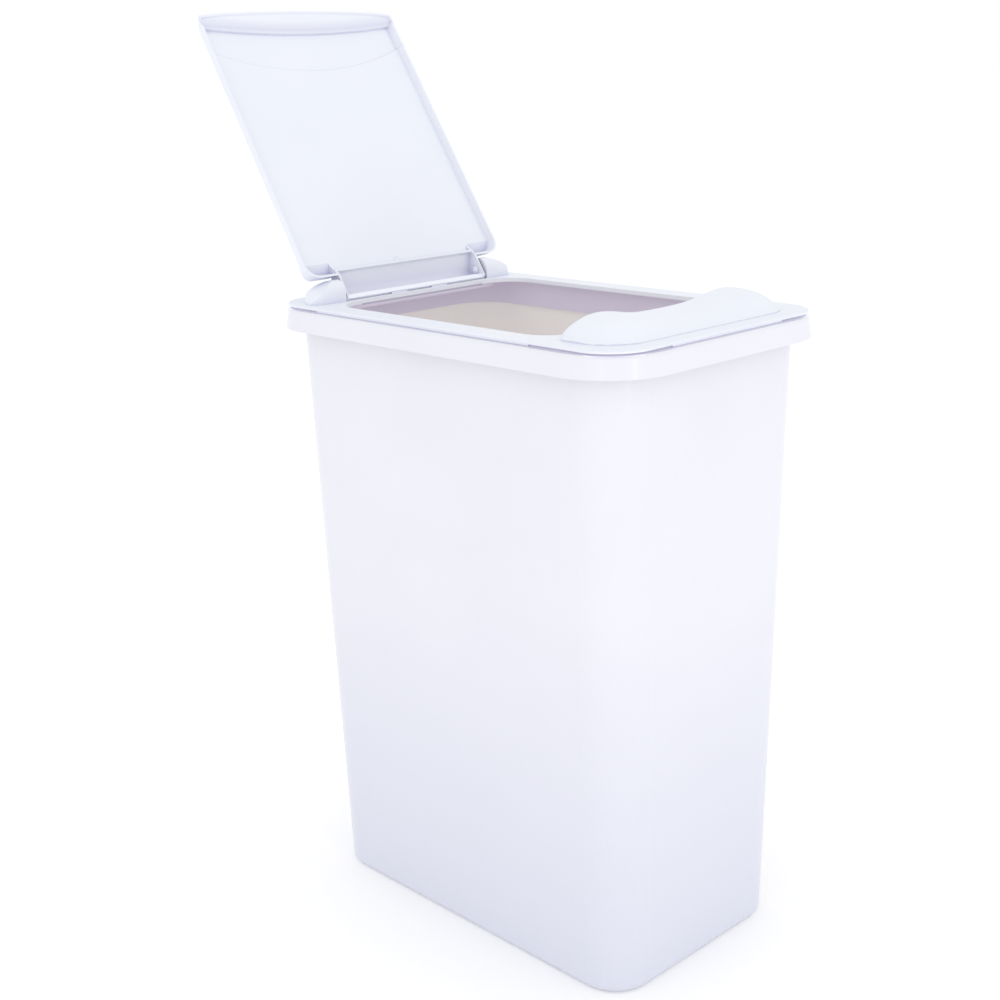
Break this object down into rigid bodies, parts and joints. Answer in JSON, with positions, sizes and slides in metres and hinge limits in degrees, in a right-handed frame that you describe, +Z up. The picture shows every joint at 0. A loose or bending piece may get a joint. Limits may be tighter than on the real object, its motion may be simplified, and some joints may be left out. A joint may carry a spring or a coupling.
{
  "type": "lift-top waste bin",
  "caption": "Tall rectangular plastic waste bin with a lift-off lid frame and a rear-hinged flap that stands open, behind a low double-knobbed front hump.",
  "frame": {"origin": "centre of the tub's flat base, on the floor", "axes": "+Z up, Y along the bin with the flap's hinge towards +Y and the front hump towards -Y, X across the bin along the hinge line"},
  "size_m": [0.2828, 0.5398, 0.8205],
  "materials": {
    "tub_plastic": "smooth semi-gloss moulded white, faintly cool",
    "lid_plastic": "smooth satin moulded white",
    "flap_plastic": "smooth satin moulded white",
    "pin_plastic": "plain white"
  },
  "bodies": {
    "tub": {"tub": "tub_plastic"},
    "lid_frame": {"lid_frame": "lid_plastic", "hinge_pin_left": "pin_plastic", "hinge_pin_right": "pin_plastic"},
    "flap": {"flap_lid": "flap_plastic"}
  },
  "joints": [
    {"name": "frame_lift_off", "type": "slide", "parent": "tub", "child": "lid_frame", "axis": [0, 0, 1], "range_m": [0, 0.08]},
    {"name": "flap_hinge", "type": "hinge", "parent": "lid_frame", "child": "flap", "pos_m": [0, 0.167, 0.5712], "axis": [1, 0, 0], "range_deg": [0, 123]}
  ]
}
